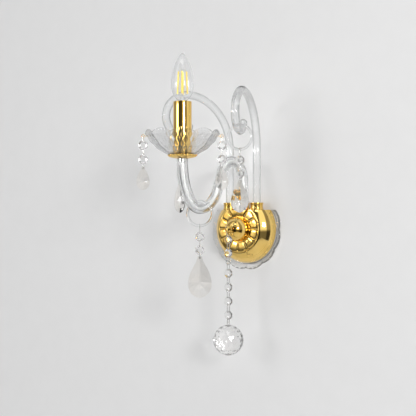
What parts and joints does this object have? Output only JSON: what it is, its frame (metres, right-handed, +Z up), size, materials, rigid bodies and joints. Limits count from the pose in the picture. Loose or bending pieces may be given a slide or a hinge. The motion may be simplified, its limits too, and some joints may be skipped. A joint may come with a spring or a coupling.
{
  "type": "wall sconce",
  "caption": "Glass and gilt wall sconce: half-round base, hooked glass crooks and an S-shaped glass arm with a candle light, hung with beads, drops and a faceted ball.",
  "frame": {"origin": "middle of the base on the wall face", "axes": "+Z up, +X to the right seen from the room, +Y into the wall"},
  "size_m": [0.1562, 0.2426, 0.4748],
  "materials": {
    "glass": "clear polished crystal",
    "gilt": "polished gilt",
    "wire": "bright plated wire",
    "steel": "zinc plated",
    "cap_metal": "plain",
    "plastic": "matt",
    "cable": "pale clear sleeve",
    "insulator": "gloss black",
    "filament": "yellow coated"
  },
  "bodies": {
    "frame": {"wall_bracket": "steel", "centre_rod": "steel", "rod_nut": "steel", "terminal_block": "plastic", "terminal_screws": "steel", "earth_screw": "steel", "glass_dish": "glass", "gold_bowl": "gilt", "rosette": "gilt", "boss_cap": "gilt", "finial": "gilt", "collar_left": "gilt", "collar_centre": "gilt", "collar_right": "gilt", "collar_nuts": "steel", "crook_left": "glass", "crook_right": "glass", "s_arm": "glass", "arm_cable": "cable", "candle_cup": "gilt", "bobeche": "glass", "bobeche_pins": "gilt", "arm_nipple": "steel", "nipple_nut": "steel", "candle_sleeve": "gilt", "lampholder": "plastic", "holder_contact": "steel"},
    "bulb": {"bulb_glass": "glass", "bulb_stem": "glass", "bulb_filaments": "filament", "bulb_wires": "steel", "bulb_cap": "cap_metal", "bulb_insulator": "insulator"},
    "left_ring": {"left_ring": "glass"},
    "left_string": {"left_links": "wire", "left_beads": "glass"},
    "left_drop": {"left_drop": "glass"},
    "right_ring": {"right_ring": "glass"},
    "right_string": {"right_links": "wire", "right_beads": "glass"},
    "right_drop": {"right_drop": "glass"},
    "arm_ring": {"arm_ring": "glass"},
    "arm_string": {"arm_links": "wire", "arm_beads": "glass"},
    "arm_drop": {"arm_drop": "glass"},
    "cup_left_string": {"cup_left_links": "wire", "cup_left_beads": "glass"},
    "cup_left_drop": {"cup_left_drop": "glass"},
    "cup_right_string": {"cup_right_links": "wire", "cup_right_beads": "glass"},
    "cup_right_drop": {"cup_right_drop": "glass"},
    "chain_upper": {"chain_upper_links": "wire", "chain_upper_beads": "glass"},
    "chain_lower": {"joint_ring": "wire", "chain_lower_links": "wire", "chain_lower_beads": "glass"},
    "ball": {"ball_links": "wire", "crystal_ball": "glass", "ball_pin": "wire"}
  },
  "joints": [
    {"name": "bulb_lift", "type": "slide", "parent": "frame", "child": "bulb", "axis": [0, 0, 1], "range_m": [0, 0.03]},
    {"name": "left_ring_swing", "type": "hinge", "parent": "frame", "child": "left_ring", "pos_m": [-0.05798, -0.11671, 0.15402], "axis": [0.3007, 0.9537, 0], "range_deg": [-8, 35]},
    {"name": "left_string_swing", "type": "hinge", "parent": "left_ring", "child": "left_string", "pos_m": [-0.05798, -0.11671, 0.12482], "axis": [-0.9537, 0.3007, 0], "range_deg": [-30, 18]},
    {"name": "left_drop_swing", "type": "hinge", "parent": "left_string", "child": "left_drop", "pos_m": [-0.05798, -0.11671, 0.07282], "axis": [0.3007, 0.9537, 0], "range_deg": [-12, 30]},
    {"name": "right_ring_swing", "type": "hinge", "parent": "frame", "child": "right_ring", "pos_m": [0.05798, -0.11671, 0.15402], "axis": [0.3007, -0.9537, 0], "range_deg": [-8, 35]},
    {"name": "right_string_swing", "type": "hinge", "parent": "right_ring", "child": "right_string", "pos_m": [0.05798, -0.11671, 0.12482], "axis": [-0.9537, -0.3007, 0], "range_deg": [-30, 18]},
    {"name": "right_drop_swing", "type": "hinge", "parent": "right_string", "child": "right_drop", "pos_m": [0.05798, -0.11671, 0.07282], "axis": [0.3007, -0.9537, 0], "range_deg": [-12, 30]},
    {"name": "arm_ring_swing", "type": "hinge", "parent": "frame", "child": "arm_ring", "pos_m": [0, -0.14206, 0.0335], "axis": [0, -1, 0], "range_deg": [-20, 20]},
    {"name": "arm_string_swing", "type": "hinge", "parent": "arm_ring", "child": "arm_string", "pos_m": [0, -0.14206, 0.0063], "axis": [-0.8192, -0.5736, 0], "range_deg": [-25, 30]},
    {"name": "arm_drop_swing", "type": "hinge", "parent": "arm_string", "child": "arm_drop", "pos_m": [0, -0.14206, -0.0457], "axis": [0.5736, -0.8192, 0], "range_deg": [-30, 30]},
    {"name": "cup_left_string_swing", "type": "hinge", "parent": "frame", "child": "cup_left_string", "pos_m": [-0.04854, -0.22287, 0.141], "axis": [-0.809, -0.5878, 0], "range_deg": [-25, 25]},
    {"name": "cup_left_drop_swing", "type": "hinge", "parent": "cup_left_string", "child": "cup_left_drop", "pos_m": [-0.04854, -0.22287, 0.093], "axis": [0.5878, -0.809, 0], "range_deg": [-20, 20]},
    {"name": "cup_right_string_swing", "type": "hinge", "parent": "frame", "child": "cup_right_string", "pos_m": [0.04854, -0.15233, 0.141], "axis": [0.809, 0.5878, 0], "range_deg": [-25, 25]},
    {"name": "cup_right_drop_swing", "type": "hinge", "parent": "cup_right_string", "child": "cup_right_drop", "pos_m": [0.04854, -0.15233, 0.093], "axis": [-0.5878, 0.809, 0], "range_deg": [-20, 20]},
    {"name": "chain_swing", "type": "hinge", "parent": "frame", "child": "chain_upper", "pos_m": [0, -0.062, -0.0084], "axis": [-1, 0, 0], "range_deg": [-6, 25]},
    {"name": "lower_chain_swing", "type": "hinge", "parent": "chain_upper", "child": "chain_lower", "pos_m": [0, -0.062, -0.0495], "axis": [-1, 0, 0], "range_deg": [-3, 15]},
    {"name": "ball_swing", "type": "hinge", "parent": "chain_lower", "child": "ball", "pos_m": [0, -0.062, -0.1451], "axis": [0, -1, 0], "range_deg": [-20, 20]}
  ]
}
